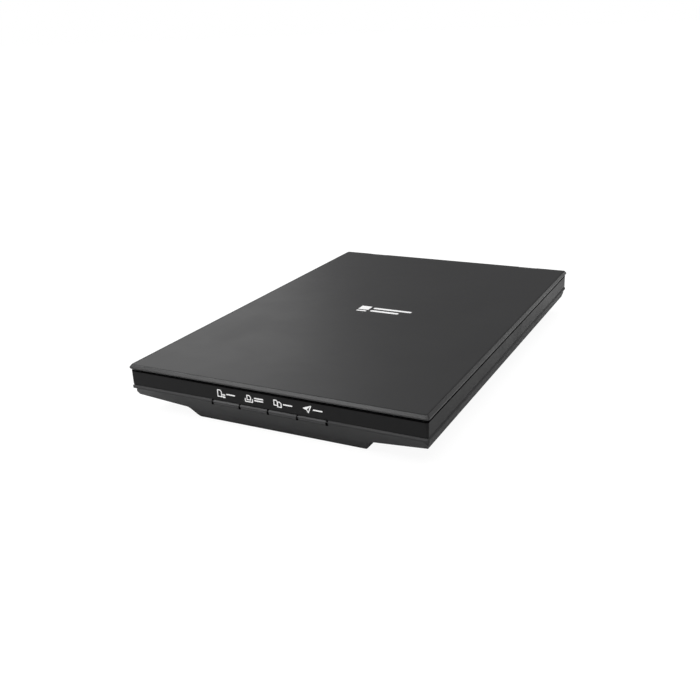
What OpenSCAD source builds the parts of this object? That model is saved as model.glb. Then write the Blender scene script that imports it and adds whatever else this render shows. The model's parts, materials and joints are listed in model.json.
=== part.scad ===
// Slim flatbed scanner: two-part housing, glass bed, lifting hinged lid, four
// front keys, and a sensor carriage that drives itself along a fixed rack.
// Frame: origin under the centre of the footprint, +Y to the back, +Z up.

/* [Housing] */
// Width across the lid
body_w = 250; // [246:1:254]
// Depth of the lid, front to back
body_d = 367; // [365:1:369]
// Overall height, feet to lid
body_h = 42; // [42:0.1:42.6]
// Wall of the moulded housings
wall = 2.2; // [2:0.1:2.4]
// How far the front and back faces lean in, per unit of height
face_lean = 0.61; // [0.55:0.01:0.63]
// Corner radius of the lower housing in plan
belly_corner_r = 6; // [3:0.5:8]
// Width of the scanning window
window_w = 218; // [210:1:220]
// Depth of the scanning window
window_d = 304; // [298:1:305]

/* [Keys] */
// Number of keys in the front lip
key_count = 4; // [1:1:4]
// Distance between key centres
key_pitch = 24.3; // [22:0.1:24.5]
// Slit between two keys
key_slit = 0.9; // [0.6:0.1:1.2]

/* [Lid] */
// Shadow gap between the lid and the deck
lid_gap = 1.2; // [1:0.1:1.3]
// Thickness of the lid's skin
lid_skin = 1.6; // [1.3:0.1:1.7]
// Distance of each hinge from the middle
hinge_x = 85; // [80:1:88]

/* [Carriage] */
// Where the sensor bar's centre is parked
bar_y = -158; // [-158:0.5:-156]
// Length of the sensor bar
bar_len = 223; // [210:1:223]
// Diameter of the guide rod
rod_d = 6; // [5:0.5:6]
// Running clearance between a shaft and its bore, on the radius
running = 0.05; // [0.03:0.01:0.09]

/* [Gears] */
// Tooth module of the gears and the rack
gear_m = 0.8; // [0.8:0.05:0.8]
// Teeth of each small gear
pinion_teeth = 12; // [12:2:12]
// Teeth of each large gear
wheel_teeth = 36; // [36:2:36]
// Pressure angle of the teeth
pressure = 25; // [20:1:25]
// Backlash along the pitch line
backlash = 0.1; // [0.06:0.01:0.14]

/* [Hidden] */

$fn = 48;
cut = 0.1;              // how far a cutter runs past a face
apart = 0.3;            // least gap between pieces that move past each other

// Heights, from the table up
foot_h = 1.5;
lip_z = 22.8;
seam_z = 25.2;
deck_z = 37.5;
deck_t = 2;
lid_z = deck_z + lid_gap;
lid_rim_z = 40.1;       // the rim leans in above this height
lid_rim_in = 1.3;
lid_line_in = 2;        // fine line round the lid's top panel
floor_z = foot_h + wall;
groove_h = 0.8;

// Lower housing: a shallow wing each side of a deep belly
lip_inset = 0.5;
lip_edge_z = 24.1;
lip_chamfer = 1.1;
band_inset = 1;
wing_in_z = 11;
wing_out_z = 15.8;
wing_out_x = body_w / 2 - 3;
step_x = 71;            // belly side: where the S-curve leaves the bottom
step_w = 8;
step_h = wing_in_z - foot_h;
lean_len = sqrt(1 + face_lean * face_lean);
edge_r = 2;

// Glass bed
glass_w = 228;
glass_front = -168;
glass_back = 162;
glass_t = 2.4;
tape_t = 0.2;
glass_top = deck_z - deck_t - tape_t;
glass_z = glass_top - glass_t;
window_y = 5;
window_bevel = 1.5;

// Hinges: a post that lifts in a sleeve, and a barrel at its head
axis_y = body_d / 2 - 2.1;
axis_z = 40;
barrel_r = 2;
pin_r = 1;
post_w = 16;
post_t = 6;
post_y = 171;
post_z = 16;
head_w = 18;
head_z = 38.2;
head_t = 2.4;
head_front = 168;
sleeve_z = 30;
sleeve_wall = 1.2;
lug_len = 3.7;
lug_gap = 0.3;

// Keys
key_w = key_pitch - key_slit;
key_face_y = -body_d / 2 + lip_inset;
key_low_z = 21.3;
key_top_z = seam_z - apart;
key_back_y = -176;
key_travel = 0.9;
stem_end_y = -174.6;
switch_z = 22.6;
board_y = -171.2;
thin_board = 1.2;

// Carriage and drive
drive_y = bar_y + 8;
rod_x = 8;
rod_z = 8.6;
rod_end = 168;
rack_x = -56;           // pitch line of the rack
pinion_r = gear_m * pinion_teeth / 2;
centre_dist = gear_m * (pinion_teeth + wheel_teeth) / 2;
output_x = rack_x + pinion_r;
idler_x = output_x + centre_dist;
motor_x = idler_x + centre_dist;
addendum = 0.8 * gear_m;
dedendum = 1.05 * gear_m;
axle_r = 1;
layer_a = [4.6, 7.4];   // rack and output pinion
layer_b = [7.8, 10.2];  // output wheel and idler pinion
layer_c = [10.6, 13];   // idler wheel and motor pinion
plate_z = 13.4;
plate_t = 1.6;
cradle_z = 18.3;
cradle_t = 2;
cradle_w = 18;
bar_z = 21.8;
bar_top = 32;
motor_r = 11;
block_w = 18;
block_z = 4.4;
spring_x = [-90, -50, 50, 90];
spring_y = bar_y + 5.5;

// Electronics
pcb_x = 58.5;
pcb_w = 25;
pcb_front = 60;
pcb_back = 168;
pcb_z = 6;
pcb_t = 1.4;
pcb_top = pcb_z + pcb_t;
standoffs = [for (x = [-8.5, 8.5], y = [66, 150]) [pcb_x + x, y]];
usb_x = 58.5;
usb_w = 7.7;
usb_h = 4;
usb_mouth_y = 172.6;
usb_len = 9.2;
cable_w = 16;
cable_x = 32;
cable_t = 0.4;
cable_fold_y = -8;
loop_y = 5;
loop_low = 5.2;
loop_high = 17.4;

// Fixings
foot_r = 5.5;
foot_x = 60;
foot_y = 155;
foot_sink = 0.8;
boss_r = 4;
screw_head_z = 19;
screws = [for (x = [-1, 1]) for (p = [[108, -173.5], [110, 171]]) [x * p[0], p[1]]];
label_size = [64, 28];
label_y = 60;
label_t = 0.3;

// ---- shared shapes ----

module rounded_rect(w, d, r) {
    square([w - 2 * r, d], center = true);
    square([w, d - 2 * r], center = true);
    for (x = [-1, 1], y = [-1, 1])
        translate([x * (w / 2 - r), y * (d / 2 - r)]) circle(r, $fn = 32);
}

module plate(w, d, r, z0, z1)
    translate([0, 0, z0]) linear_extrude(z1 - z0) rounded_rect(w, d, r);

module block(x0, x1, y0, y1, z0, z1)
    translate([x0, y0, z0]) cube([x1 - x0, y1 - y0, z1 - z0]);

module post(x, y, r, z0, z1)
    translate([x, y, z0]) cylinder(h = z1 - z0, r = r);

module along_x(x0, x1, y, z, r)
    translate([x0, y, z]) rotate([0, 90, 0]) cylinder(h = x1 - x0, r = r);

module along_y(y0, y1, x, z, r)
    translate([x, y0, z]) rotate([-90, 0, 0]) cylinder(h = y1 - y0, r = r);

// a side profile, points [y, z], run from x0 to x1
module run_x(x0, x1, points)
    translate([x0, 0, 0]) rotate([90, 0, 90]) linear_extrude(x1 - x0) polygon(points);

// a front profile, points [x, z], run from y0 to y1
module run_y(y0, y1, points)
    translate([0, y1, 0]) rotate([90, 0, 0]) linear_extrude(y1 - y0) polygon(points);

function mirrored(half) =
    concat(half, [for (i = [len(half) - 1 : -1 : 0]) [-half[i][0], half[i][1]]]);

function arc(c, r, a0, a1, n) =
    [for (i = [0 : n]) c + r * [cos(a0 + (a1 - a0) * i / n), sin(a0 + (a1 - a0) * i / n)]];

// ---- lower housing ----

// belly side, an S-curve from the bottom to the wing, moved in by t
function belly_step(t, n = 10) =
    [for (i = [0 : n]) let (u = i / n, a = atan(step_h * PI / 2 * sin(180 * u) / step_w))
        [step_x + step_w * u - t * sin(a),
         foot_h + step_h * (1 - cos(180 * u)) / 2 + t * cos(a)]];

function front_outline(t, top) = mirrored(concat(
    belly_step(t),
    [[wing_out_x - t, wing_out_z + t], [body_w / 2 - band_inset - t, lip_z],
     [body_w / 2 - band_inset - t, top]]));

function lean_y(z, t) = body_d / 2 - band_inset - max(0, lip_z - z) * face_lean - t * lean_len;

function side_outline(t, top) = mirrored([[lean_y(foot_h + t, t), foot_h + t],
    [lean_y(lip_z, t), lip_z], [lean_y(lip_z, t), top]]);

module housing_form(t, top)
    intersection() {
        run_y(-body_d / 2, body_d / 2, front_outline(t, top));
        run_x(-body_w / 2, body_w / 2, side_outline(t, top));
        plate(body_w - 2 * (band_inset + t), body_d - 2 * (band_inset + t),
            belly_corner_r - t, 0, top);
    }

// half of the lip's section, out to half the housing's span
function lip_section(span) = mirrored([[span - lip_inset, lip_z],
    [span - lip_inset, lip_edge_z], [span - lip_inset - lip_chamfer, seam_z]]);

module lip()
    intersection() {
        run_y(-body_d / 2, body_d / 2, lip_section(body_w / 2));
        run_x(-body_w / 2, body_w / 2, lip_section(body_d / 2));
        plate(body_w - 2 * lip_inset, body_d - 2 * lip_inset, edge_r, lip_z, seam_z);
    }

module key_bay()
    block(-key_count * key_pitch / 2 - key_slit / 2, key_count * key_pitch / 2 + key_slit / 2,
        -body_d / 2 - cut, -body_d / 2 + 9, 21, seam_z + cut);

module rod_holder(y0, y1)
    difference() {
        union() {
            block(rod_x - 6, rod_x + 6, y0, y1, floor_z - cut, rod_z);
            along_y(y0, y1, rod_x, rod_z, 6);
        }
        along_y(min(y0, -rod_end), max(y1, rod_end), rod_x, rod_z, rod_d / 2);
    }

module board_slot(x)
    difference() {
        block(x - 2, x + 2, board_y - 2.4, board_y + thin_board + 2.4, floor_z - cut, 19);
        block(x - 2 - cut, x + 2 + cut, board_y, board_y + thin_board, 15, 19 + cut);
    }

// everything that stands on the floor inside
module housing_ribs() {
    rod_holder(-rod_end, -rod_end + 5.5);
    rod_holder(rod_end - 5.5, rod_end);
    for (x = [-45, 45]) board_slot(x);
    for (p = standoffs) difference() {
        post(p[0], p[1], 2.4, floor_z - cut, pcb_z);
        post(p[0], p[1], 0.9, floor_z + cut, pcb_z + cut);
    }
    // back of the rack bed, and the low ribs that stiffen the belly floor
    block(-62, rack_x - 5, -160, 160, floor_z - cut, layer_a[1]);
    for (y = [-120 : 40 : 40]) block(44, 80, y - 0.6, y + 0.6, floor_z - cut, 6);
    // stiffeners on the wings, under the sensor bar's path
    for (x = [-1, 1], y = [-140 : 35 : 140])
        block(x * 101 - 18, x * 101 + 18, y - 0.6, y + 0.6, wing_in_z, 17.6);
}

module lower_housing()
    color("#303033") {
        difference() {
            union() {
                housing_form(0, lip_z);
                lip();
            }
            difference() {
                housing_form(wall, seam_z + cut);
                for (p = screws) post(p[0], p[1], boss_r, 0, seam_z);
            }
            key_bay();
            for (p = screws) {
                post(p[0], p[1], 3.4, 0, screw_head_z);
                post(p[0], p[1], 1.7, 0, seam_z + cut);
            }
            for (x = [-1, 1], y = [-1, 1])
                post(x * foot_x, y * foot_y, foot_r, 0, foot_h + foot_sink);
            block(usb_x - 5.8, usb_x + 5.8, 168.4, body_d / 2, pcb_top - 0.8, pcb_top + usb_h + 1);
            translate([0, label_y, foot_h - cut]) linear_extrude(label_t + cut)
                rounded_rect(label_size[0], label_size[1], 2);
        }
        intersection() {
            housing_form(wall / 2, seam_z);
            housing_ribs();
        }
    }

// ---- upper housing ----

module upper_housing()
    color("#2b2b2e") difference() {
        union() {
            difference() {
                union() {
                    plate(body_w - 2 * band_inset, body_d - 2 * band_inset, edge_r,
                        seam_z + groove_h, deck_z);
                    plate(body_w - 2 * band_inset - 1.2, body_d - 2 * band_inset - 1.2,
                        edge_r, seam_z, seam_z + groove_h);
                }
                plate(body_w - 2 * (band_inset + wall), body_d - 2 * (band_inset + wall),
                    1, seam_z - cut, deck_z - deck_t);
                hull() {
                    translate([0, window_y, 0]) plate(window_w, window_d, 2,
                        deck_z - deck_t - cut, deck_z - deck_t);
                    translate([0, window_y, 0]) plate(window_w + 2 * window_bevel,
                        window_d + 2 * window_bevel, 2 + window_bevel, deck_z, deck_z + cut);
                }
            }
            for (p = screws) post(p[0], p[1], boss_r - 0.4, seam_z, deck_z - deck_t + cut);
            for (x = [-1, 1])
                block(x * hinge_x - post_w / 2 - sleeve_wall - apart,
                    x * hinge_x + post_w / 2 + sleeve_wall + apart,
                    post_y - post_t / 2 - sleeve_wall - apart,
                    post_y + post_t / 2 + sleeve_wall + apart, sleeve_z, deck_z - deck_t + cut);
            // frame rib that carries the glass edge
            for (x = [-1, 1])
                block(x * (glass_w / 2 + 1.5) - 0.6, x * (glass_w / 2 + 1.5) + 0.6,
                    glass_front, glass_back, glass_z, deck_z - deck_t + cut);
        }
        for (x = [-1, 1])
            block(x * hinge_x - post_w / 2 - apart, x * hinge_x + post_w / 2 + apart,
                post_y - post_t / 2 - apart, post_y + post_t / 2 + apart,
                sleeve_z - cut, deck_z + cut);
        for (p = screws) post(p[0], p[1], 1.3, seam_z - cut, 33.5);
    }

module platen_glass()
    color("#9fb4b0", 0.35)
        block(-glass_w / 2, glass_w / 2, glass_front, glass_back, glass_z, glass_top);

module strip_pocket(grow)
    block(-108 - grow, 108 + grow, -166 - grow, -151 + grow,
        glass_top - grow, deck_z - deck_t + grow);

module glass_tape()
    color("#101010") difference() {
        block(-glass_w / 2, glass_w / 2, glass_front, glass_back, glass_top, deck_z - deck_t);
        block(-window_w / 2 - 1, window_w / 2 + 1, window_y - window_d / 2 - 1,
            window_y + window_d / 2 + 1, glass_top - cut, deck_z);
        strip_pocket(cut);
    }

module calibration_strip()
    color("#f4f4f0") strip_pocket(0);

// ---- lid ----

module lid_form(inset, z0, z1)
    plate(body_w - 2 * inset, body_d - 2 * inset, edge_r, z0, z1);

// room under the skin for one hinge head, and the notch for its barrel
module hinge_pocket(x, roof)
    union() {
        block(x - head_w / 2 - 0.5, x + head_w / 2 + 0.5, head_front - 0.5, body_d / 2 - 1.6,
            lid_z - cut, roof);
        block(x - head_w / 2 - lug_gap, x + head_w / 2 + lug_gap, axis_y - barrel_r - apart,
            body_d / 2 + cut, lid_z - cut, body_h + cut);
    }

module lid_cover()
    color("#3d3d40") difference() {
        union() {
            difference() {
                hull() {
                    lid_form(0, lid_z + 0.5, lid_rim_z);
                    lid_form(0.5, lid_z, lid_rim_z);
                    lid_form(lid_rim_in, lid_z, body_h);
                }
                lid_form(lid_skin + 0.4, lid_z - cut, body_h - lid_skin);
                difference() {
                    lid_form(lid_line_in, body_h - 0.3, body_h + cut);
                    lid_form(lid_line_in + 0.45, body_h - 0.4, body_h + 2 * cut);
                }
            }
            for (s = [-1, 1], e = [-1, 1]) {
                near = s * hinge_x + e * (head_w / 2 + lug_gap);
                far = near + e * lug_len;
                along_x(min(near, far), max(near, far), axis_y, axis_z, barrel_r);
            }
            // ribs moulded under the skin
            for (x = [-95 : 38 : 95])
                block(x - 0.5, x + 0.5, -body_d / 2 + 1, 160, 40.3, body_h - lid_skin + cut);
        }
        for (s = [-1, 1]) {
            hinge_pocket(s * hinge_x, 40.8);
            along_x(s * hinge_x - head_w / 2 - lug_len - lug_gap,
                s * hinge_x + head_w / 2 + lug_len + lug_gap, axis_y, axis_z, pin_r);
        }
    }

module lid_inner()
    color("#48484b") difference() {
        lid_form(lid_skin + 0.6, lid_z + 0.2, 40.3);
        for (s = [-1, 1])
            block(s * hinge_x - head_w / 2 - 4.5, s * hinge_x + head_w / 2 + 4.5,
                head_front - 0.5, body_d / 2, lid_z, 40.3 + cut);
    }

module foam_pad()
    color("#e9e9e6") translate([0, window_y, 0])
        plate(window_w - 3, window_d - 3, 2, glass_top + 0.6, lid_z + 0.2);

module white_sheet()
    color("#fbfbf8") translate([0, window_y, 0])
        plate(window_w - 2, window_d - 2, 2, glass_top + 0.35, glass_top + 0.6);

module lid_bumpers()
    color("#141414") for (x = [-1, 1], y = [-1, 1])
        translate([x * 117, y * 175, deck_z + 0.1]) {
            cylinder(h = 0.6, r1 = 2.4, r2 = 3);
            translate([0, 0, 0.6]) cylinder(h = lid_z + 0.2 - deck_z - 0.7, r = 3);
        }

module hinge_pins()
    color("#b9bcc0") for (s = [-1, 1])
        along_x(s * hinge_x - head_w / 2 - lug_gap - lug_len,
            s * hinge_x + head_w / 2 + lug_gap + lug_len, axis_y, axis_z, pin_r);

// ---- hinges ----

module hinge(x)
    color("#232326") difference() {
        union() {
            // the post is a thin channel, open to the front
            difference() {
                block(x - post_w / 2, x + post_w / 2, post_y - post_t / 2, post_y + post_t / 2,
                    post_z, head_z + cut);
                block(x - post_w / 2 + 2, x - 1, post_y - post_t / 2 - cut,
                    post_y + post_t / 2 - 2, post_z + 2, head_z - 2);
                block(x + 1, x + post_w / 2 - 2, post_y - post_t / 2 - cut,
                    post_y + post_t / 2 - 2, post_z + 2, head_z - 2);
            }
            // barbs that stop the post at the top of its lift
            for (e = [-1, 1])
                run_y(post_y - 2, post_y + 2, [
                    [x + e * post_w / 2, post_z], [x + e * (post_w / 2 + 1), post_z + 1.5],
                    [x + e * post_w / 2, post_z + 1.5]]);
            // head plate, thinning towards the barrel
            run_x(x - head_w / 2, x + head_w / 2, [
                [head_front, head_z], [axis_y, axis_z - barrel_r],
                [axis_y, axis_z + 0.6], [head_front + 1.5, head_z + head_t],
                [head_front, head_z + head_t - 1]]);
            along_x(x - head_w / 2, x + head_w / 2, axis_y, axis_z, barrel_r);
        }
        along_x(x - head_w / 2 - cut, x + head_w / 2 + cut, axis_y, axis_z, pin_r + running);
    }

module hinge_left() hinge(-hinge_x);
module hinge_right() hinge(hinge_x);

// ---- keys ----

function key_x(i) = (i - (key_count + 1) / 2) * key_pitch;

module key(i)
    color("#2f2f32") {
        run_x(key_x(i) - key_w / 2, key_x(i) + key_w / 2, concat(
            [[-lean_y(key_low_z, 0), key_low_z], [key_face_y + 0.5, lip_z]],
            arc([key_face_y + 0.3, lip_z + 0.3], 0.3, 240, 180, 3),
            [[key_face_y, lip_edge_z - 0.1], [key_face_y + lip_chamfer - 0.2, key_top_z],
             [key_back_y, key_top_z], [key_back_y, 19.2], [key_back_y - 1.2, 19.2],
             [key_back_y - 1.2, key_low_z]]));
        block(key_x(i) - 3, key_x(i) + 3, key_back_y - cut, stem_end_y,
            switch_z - 1, switch_z + 1);
        for (e = [-1, 1])
            block(key_x(i) + e * 8 - 0.5, key_x(i) + e * 8 + 0.5, key_back_y - cut,
                stem_end_y - 0.4, 20, 24);
    }

module key_1() key(1);
module key_2() key(2);
module key_3() key(3);
module key_4() key(4);

module button_board()
    color("#1f5a38") difference() {
        block(-52, 52, board_y, board_y + thin_board, 15, 26);
        for (x = [-49.5, 49.5]) along_y(board_y - cut, board_y + 2, x, 23.5, 1.1);
    }

module tact_switches()
    color("#8d9094") for (i = [1 : key_count]) {
        block(key_x(i) - 3, key_x(i) + 3, board_y - 1.8, board_y, switch_z - 3, switch_z + 3);
        along_y(board_y - 2.4, board_y - 1.8, key_x(i), switch_z, 1.6);
    }

// ---- gears ----

function inv_angle(rb, r) = let (a = acos(min(1, rb / r))) tan(a) * 180 / PI - a;

// involute gear outline with a tooth centred on +X
function gear_outline(teeth, steps = 4) =
    let (rp = gear_m * teeth / 2, rb = rp * cos(pressure),
        ra = rp + addendum, rf = rp - dedendum, low = max(rb, rf),
        half = 90 / teeth - backlash / 2 / rp * 180 / PI)
    [for (k = [0 : teeth - 1], side = [-1, 1], i = [(rf < rb ? -1 : 0) : steps])
        let (j = side < 0 ? i : steps - i + (rf < rb ? -1 : 0),
            r = j < 0 ? rf : low + (ra - low) * j / steps,
            a = 360 * k / teeth
                + side * (half + inv_angle(rb, rp) - inv_angle(rb, max(r, low))))
        r * [cos(a), sin(a)]];

module gear(teeth, layer, turn = 0)
    translate([0, 0, layer[0]]) rotate([0, 0, turn])
        linear_extrude(layer[1] - layer[0]) polygon(gear_outline(teeth));

// a large wheel with a dished web and round holes
module wheel(layer)
    difference() {
        gear(wheel_teeth, layer);
        for (z = [layer[0] - 1.3, layer[1] - 0.7]) difference() {
            post(0, 0, 12, z, z + 2);
            post(0, 0, 6.6, z - cut, z + 2 + cut);
        }
        for (k = [0 : 5]) rotate([0, 0, 60 * k]) post(9.3, 0, 1.9, layer[0] - 1, layer[1] + 1);
    }

module spin_bore(z0, z1) post(0, 0, axle_r + running, z0, z1);

half_tooth = 180 / pinion_teeth;

module output_gear()
    color("#d9d6c8") translate([output_x, drive_y, 0]) difference() {
        union() {
            gear(pinion_teeth, layer_a);
            wheel(layer_b);
            post(0, 0, 3, layer_a[1] - cut, layer_b[0] + cut);
            post(0, 0, 2.4, layer_b[1] - cut, plate_z - apart);
        }
        spin_bore(0, plate_z);
    }

module idler_gear()
    color("#d9d6c8") translate([idler_x, drive_y, 0]) difference() {
        union() {
            gear(pinion_teeth, layer_b, half_tooth);
            wheel(layer_c);
            post(0, 0, 3, layer_b[1] - cut, layer_c[0] + cut);
        }
        spin_bore(0, plate_z);
    }

module motor_pinion()
    color("#c9a24a") translate([motor_x, drive_y, 0]) {
        gear(pinion_teeth, layer_c, half_tooth);
        post(0, 0, 0.9, layer_c[1] - cut, plate_z + plate_t + 1);
    }

module gear_rack()
    color("#cfccc0") {
        pitch = PI * gear_m;
        flank = tan(pressure);
        half = pitch / 4 - backlash / 2;
        teeth = 128;
        y0 = drive_y - 3.5 * pitch;
        translate([0, 0, floor_z]) linear_extrude(layer_a[1] - floor_z) polygon(concat(
            [[rack_x - 5, y0 - pitch / 2]],
            [for (k = [0 : teeth - 1], c = [
                [-dedendum, -half - dedendum * flank], [addendum, -half + addendum * flank],
                [addendum, half - addendum * flank], [-dedendum, half + dedendum * flank]])
                [rack_x + c[0], y0 + k * pitch + c[1]]],
            [[rack_x - 5, y0 + (teeth - 0.5) * pitch]]));
    }

// ---- carriage ----

module guide_rod()
    color("#c4c7ca") {
        along_y(-rod_end + 0.5, rod_end - 0.5, rod_x, rod_z, rod_d / 2);
        for (y = [-rod_end, rod_end - 0.5]) along_y(y, y + 0.5, rod_x, rod_z, rod_d / 2 - 0.4);
    }

// a rounded arm of the gear plate, from x0 to x1
module plate_arm(x0, x1, r, z0, z1)
    translate([0, drive_y, z0]) linear_extrude(z1 - z0) {
        translate([x0, -r]) square([x1 - x0, 2 * r]);
        translate([x0, 0]) circle(r);
    }

module cradle()
    difference() {
        union() {
            block(-114, 114, bar_y - cradle_w / 2, bar_y + cradle_w / 2,
                cradle_z, cradle_z + cradle_t);
            for (e = [-1, 1])
                block(-114, 114, bar_y + e * 8.3 - 0.7, bar_y + e * 8.3 + 0.7,
                    cradle_z, 24.5);
            for (e = [-1, 1])
                block(e * 113.1 - 0.9, e * 113.1 + 0.9, bar_y - cradle_w / 2,
                    bar_y + cradle_w / 2, cradle_z, 29);
        }
        for (x = [-100 : 20 : 100]) if (x != 0 && x != -20 && x != 40 && x != 20)
            block(x - 7, x + 7, bar_y - 4.5, bar_y + 4.5, cradle_z - cut, cradle_z + cradle_t + cut);
        post(motor_x, drive_y, motor_r + 0.5, cradle_z - cut, bar_z);
        for (e = [-1, 1]) block(e * 113.1 - 1, e * 113.1 + 1, bar_y - 3, bar_y + 3, 25.5, 30);
    }

module carriage_frame()
    color("#26262a") difference() {
        union() {
            cradle();
            // slide block and its neck up to the cradle
            block(rod_x - block_w / 2, rod_x + block_w / 2, drive_y - motor_r,
                drive_y + motor_r, block_z, plate_z);
            block(rod_x - 7, rod_x + 7, bar_y - 2, bar_y + cradle_w / 2, plate_z, cradle_z + cut);
            // gear plate with axle bosses
            plate_arm(output_x, rod_x + 5, 8, plate_z, plate_z + plate_t);
            for (x = [output_x, idler_x])
                post(x, drive_y, 3.2, plate_z, plate_z + 3.2);
            for (x = [-46, -28])
                block(x - 0.8, x + 0.8, bar_y, bar_y + cradle_w / 2, plate_z, cradle_z + cut);
            // seats of the four coil springs
            for (x = spring_x)
                post(x, spring_y, 1.2, cradle_z + cradle_t - cut, bar_z - 0.4);
        }
        along_y(drive_y - motor_r - cut, drive_y + motor_r + cut, rod_x, rod_z,
            rod_d / 2 + running);
        // the block bears only at its two ends
        along_y(drive_y - 5, drive_y + 5, rod_x, rod_z, rod_d / 2 + 1);
        for (x = [output_x, idler_x]) post(x, drive_y, axle_r, plate_z - cut, plate_z + 3.2 + cut);
        post(motor_x, drive_y, 2.4, plate_z - cut, plate_z + plate_t + cut);
        for (x = [(output_x + idler_x) / 2]) for (e = [-1, 1])
            post(x, drive_y + e * 4.5, 2, plate_z - cut, plate_z + plate_t + cut);
    }

module cis_housing()
    color("#1b1b1d") difference() {
        run_x(-bar_len / 2, bar_len / 2, [for (p = [[-6.5, bar_z], [6.5, bar_z], [6.5, 28.6],
            [5, 30], [4.2, bar_top], [-5.2, bar_top], [-6.5, 30.4]]) [bar_y + p[0], p[1]]]);
        block(-bar_len / 2 + 2, bar_len / 2 - 2, bar_y - 5, bar_y + 5, bar_z - cut, bar_z + 1.2);
        block(-110, 110, bar_y - 4.2, bar_y - 0.8, 27.5, bar_top + cut);
        block(-110, 110, bar_y + 0.6, bar_y + 2.6, bar_z + 1, bar_top + cut);
    }

module rod_lens()
    color("#5d6b70") {
        block(-109.8, 109.8, bar_y + 0.6, bar_y + 0.95, 24.5, bar_top - 0.4);
        block(-109.8, 109.8, bar_y + 2.25, bar_y + 2.6, 24.5, bar_top - 0.4);
        block(-109.8, 109.8, bar_y + 0.95, bar_y + 2.25, 26, bar_top - 0.8);
    }

module light_guide()
    color("#e8eef2") run_x(-109.8, 109.8, [for (p = [[-4.2, 27.5], [-0.8, 27.5], [-0.8, 29],
        [-1.9, 31.2], [-4.2, 31.2]]) [bar_y + p[0], p[1]]]);

module cis_board()
    color("#1f5a38") {
        block(-bar_len / 2 + 2.2, bar_len / 2 - 2.2, bar_y - 4.8, bar_y + 4.8,
            bar_z + 0.2, bar_z + 1);
    }

module cis_springs()
    color("#b9bcc0") for (x = spring_x) translate([x, spring_y, 0])
        difference() {
            post(0, 0, 1.7, cradle_z + cradle_t, bar_z);
            post(0, 0, 1.3, cradle_z, bar_z + cut);
        }

module glass_sliders()
    color("#e6e6e0") for (e = [-1, 1]) {
        block(e * 108.5 - 2.5, e * 108.5 + 2.5, bar_y - 4.8, bar_y + 4, bar_top, bar_top + 0.3);
        for (y = [-2.6, 1.8])
            translate([e * 108.5, bar_y + y, bar_top + 0.3 - cut])
                cylinder(h = 0.3 + cut, r1 = 1.9, r2 = 1.5);
    }

module motor_can()
    color("#a9adb0") translate([motor_x, drive_y, plate_z + plate_t]) {
        difference() {
            cylinder(h = 6, r = motor_r);
            translate([0, 0, -cut]) cylinder(h = 2, r = 2.6);
        }
        translate([0, 0, 6 - cut]) cylinder(h = 0.4 + cut, r = 3);
    }

module gear_axles()
    color("#c4c7ca") for (x = [output_x, idler_x]) {
        low = (x == output_x) ? layer_a[0] : layer_b[0];
        post(x, drive_y, axle_r, low - 0.3, plate_z + 3.2);
        post(x, drive_y, axle_r + 0.5, low - 0.6, low - 0.3);
    }

// ---- electronics ----

module main_board()
    color("#1f5a38") difference() {
        block(pcb_x - pcb_w / 2, pcb_x + pcb_w / 2, pcb_front, pcb_back, pcb_z, pcb_top);
        for (p = standoffs) post(p[0], p[1], 0.9, pcb_z - cut, pcb_top + cut);
    }

module board_parts()
    color("#17171a") {
        block(pcb_x - 6, pcb_x + 8, 104, 118, pcb_top, pcb_top + 1.4);
        block(pcb_x - 4, pcb_x + 4, 126, 136, pcb_top, pcb_top + 1.1);
        block(pcb_x - 8, pcb_x - 2, 142, 146, pcb_top, pcb_top + 1.5);
        for (y = [92, 98]) post(pcb_x + 8, y, 2.4, pcb_top, pcb_top + 5);
        for (k = [0 : 5]) block(pcb_x - 9, pcb_x - 7.4, 104 + 3 * k, 105 + 3 * k,
            pcb_top, pcb_top + 0.6);
        along_x(pcb_x - 4, pcb_x + 4, 123, pcb_top + 1.6, 1.6);
    }

module usb_socket()
    color("#c2c5c8") difference() {
        block(usb_x - usb_w / 2, usb_x + usb_w / 2, usb_mouth_y - usb_len, usb_mouth_y,
            pcb_top, pcb_top + usb_h);
        difference() {
            run_y(usb_mouth_y - 6.5, usb_mouth_y + cut, mirrored_about(usb_x, [
                [2.4, pcb_top + 0.4], [3.4, pcb_top + 1.6], [3.4, pcb_top + usb_h - 0.4]]));
            block(usb_x - 2.6, usb_x + 2.6, usb_mouth_y - 7, usb_mouth_y - 1,
                pcb_top + 1.7, pcb_top + 2.4);
        }
    }

function mirrored_about(x, half) = [for (p = mirrored(half)) [x + p[0], p[1]]];

module cable_socket()
    color("#e4e1d6") difference() {
        block(pcb_x - pcb_w / 2, pcb_x - pcb_w / 2 + 4.6, 69, 87, pcb_top, pcb_top + 2);
        block(pcb_x - pcb_w / 2 - cut, pcb_x - pcb_w / 2 + 2, 70, 86,
            pcb_top + 0.6, pcb_top + 0.6 + cable_t);
    }

// a strip's side profile: the centre line c pushed out by half the thickness each way
function strip_profile(c, t) = let (n = len(c) - 1,
    d = [for (i = [0 : n]) let (v = c[min(n, i + 1)] - c[max(0, i - 1)]) v / norm(v)])
    concat([for (i = [0 : n]) c[i] + t / 2 * [-d[i][1], d[i][0]]],
        [for (i = [n : -1 : 0]) c[i] - t / 2 * [-d[i][1], d[i][0]]]);

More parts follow.
